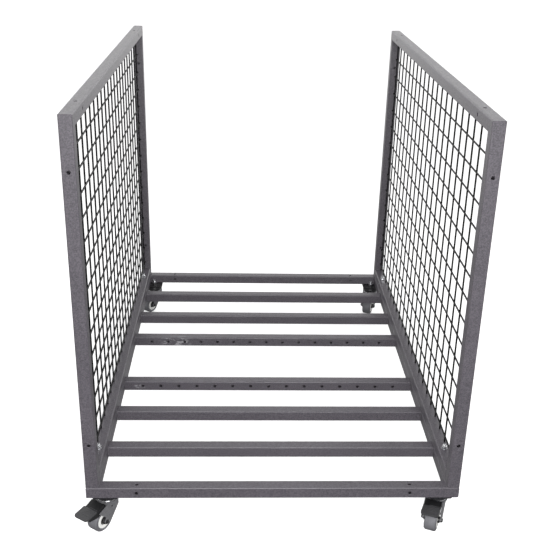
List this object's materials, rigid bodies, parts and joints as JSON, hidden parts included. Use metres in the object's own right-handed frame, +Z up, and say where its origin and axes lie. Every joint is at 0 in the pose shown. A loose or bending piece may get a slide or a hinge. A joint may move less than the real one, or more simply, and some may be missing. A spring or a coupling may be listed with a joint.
{
  "type": "plant trolley",
  "caption": "Welded tube base on swivel casters with slatted deck and a tall wire mesh panel bolted along each side, open at front, back and top.",
  "frame": {"origin": "on the floor, under the centre of the base frame", "axes": "+Z up, +X to the right of someone facing the open front, +Y from the front to the back"},
  "size_m": [0.7708, 1.1331, 0.858],
  "materials": {
    "frame_coat": "dark purple-grey powder coat with a fine texture",
    "mesh_coat": "black coated wire, satin",
    "zinc": "bright zinc plating",
    "fork_coat": "mid grey coated steel pressing",
    "race_steel": "dark coated steel",
    "brake_plastic": "matt black",
    "pedal_coat": "mid grey, satin",
    "hub_plastic": "white, moulded",
    "tyre_rubber": "grey, matt"
  },
  "bodies": {
    "frame": {"base_rail_front": "frame_coat", "base_rail_left": "frame_coat", "base_rail_rear": "frame_coat", "base_rail_right": "frame_coat", "caster_stem_front_left": "zinc", "caster_stem_front_right": "zinc", "caster_stem_rear_left": "zinc", "caster_stem_rear_right": "zinc", "corner_plate_front_left": "race_steel", "corner_plate_front_right": "race_steel", "corner_plate_rear_left": "race_steel", "corner_plate_rear_right": "race_steel", "crossbar_1": "frame_coat", "crossbar_2": "frame_coat", "crossbar_5": "frame_coat", "crossbar_6": "frame_coat", "panel_bolt_left_front": "zinc", "panel_bolt_left_rear": "zinc", "panel_bolt_right_front": "zinc", "panel_bolt_right_rear": "zinc", "panel_bottom_rail_left": "frame_coat", "panel_bottom_rail_right": "frame_coat", "panel_mesh_left": "mesh_coat", "panel_mesh_right": "mesh_coat", "panel_nut_left_front": "zinc", "panel_nut_left_rear": "zinc", "panel_nut_right_front": "zinc", "panel_nut_right_rear": "zinc", "panel_post_left_front": "frame_coat", "panel_post_left_rear": "frame_coat", "panel_post_right_front": "frame_coat", "panel_post_right_rear": "frame_coat", "panel_top_rail_left": "frame_coat", "panel_top_rail_right": "frame_coat", "perforated_bar_3": "frame_coat", "perforated_bar_4": "frame_coat", "swivel_race_front_left": "race_steel", "swivel_race_front_right": "race_steel", "swivel_race_rear_left": "race_steel", "swivel_race_rear_right": "race_steel"},
    "fork_front_left": {"caster_fork_front_left": "fork_coat", "caster_axle_front_left": "zinc"},
    "wheel_front_left": {"caster_tyre_front_left": "tyre_rubber", "caster_hub_front_left": "hub_plastic"},
    "brake_front_left": {"brake_lever_front_left": "brake_plastic", "brake_pedal_front_left": "pedal_coat"},
    "fork_front_right": {"caster_fork_front_right": "fork_coat", "caster_axle_front_right": "zinc"},
    "wheel_front_right": {"caster_tyre_front_right": "tyre_rubber", "caster_hub_front_right": "hub_plastic"},
    "brake_front_right": {"brake_lever_front_right": "brake_plastic", "brake_pedal_front_right": "pedal_coat"},
    "fork_rear_left": {"caster_fork_rear_left": "fork_coat", "caster_axle_rear_left": "zinc"},
    "wheel_rear_left": {"caster_tyre_rear_left": "tyre_rubber", "caster_hub_rear_left": "hub_plastic"},
    "fork_rear_right": {"caster_fork_rear_right": "fork_coat", "caster_axle_rear_right": "zinc"},
    "wheel_rear_right": {"caster_tyre_rear_right": "tyre_rubber", "caster_hub_rear_right": "hub_plastic"}
  },
  "joints": [
    {"name": "swivel_front_left", "type": "hinge", "parent": "frame", "child": "fork_front_left", "pos_m": [-0.3385, -0.512, 0.062], "axis": [0, 0, 1], "continuous": true},
    {"name": "spin_front_left", "type": "hinge", "parent": "fork_front_left", "child": "wheel_front_left", "pos_m": [-0.35284, -0.53248, 0.025], "axis": [0.8192, -0.5736, 0], "continuous": true},
    {"name": "brake_press_front_left", "type": "hinge", "parent": "fork_front_left", "child": "brake_front_left", "pos_m": [-0.34309, -0.51855, 0.0535], "axis": [0.8192, -0.5736, 0], "range_deg": [-10, 2]},
    {"name": "swivel_front_right", "type": "hinge", "parent": "frame", "child": "fork_front_right", "pos_m": [0.3385, -0.512, 0.062], "axis": [0, 0, 1], "continuous": true},
    {"name": "spin_front_right", "type": "hinge", "parent": "fork_front_right", "child": "wheel_front_right", "pos_m": [0.32873, -0.53501, 0.025], "axis": [0.9205, -0.3907, 0], "continuous": true},
    {"name": "brake_press_front_right", "type": "hinge", "parent": "fork_front_right", "child": "brake_front_right", "pos_m": [0.33537, -0.51936, 0.0535], "axis": [0.9205, -0.3907, 0], "range_deg": [0, 12]},
    {"name": "swivel_rear_left", "type": "hinge", "parent": "frame", "child": "fork_rear_left", "pos_m": [-0.3385, 0.512, 0.062], "axis": [0, 0, 1], "continuous": true},
    {"name": "spin_rear_left", "type": "hinge", "parent": "fork_rear_left", "child": "wheel_rear_left", "pos_m": [-0.35284, 0.49152, 0.025], "axis": [0.8192, -0.5736, 0], "continuous": true},
    {"name": "swivel_rear_right", "type": "hinge", "parent": "frame", "child": "fork_rear_right", "pos_m": [0.3385, 0.512, 0.062], "axis": [0, 0, 1], "continuous": true},
    {"name": "spin_rear_right", "type": "hinge", "parent": "fork_rear_right", "child": "wheel_rear_right", "pos_m": [0.32995, 0.48851, 0.025], "axis": [0.9397, -0.342, 0], "continuous": true}
  ]
}
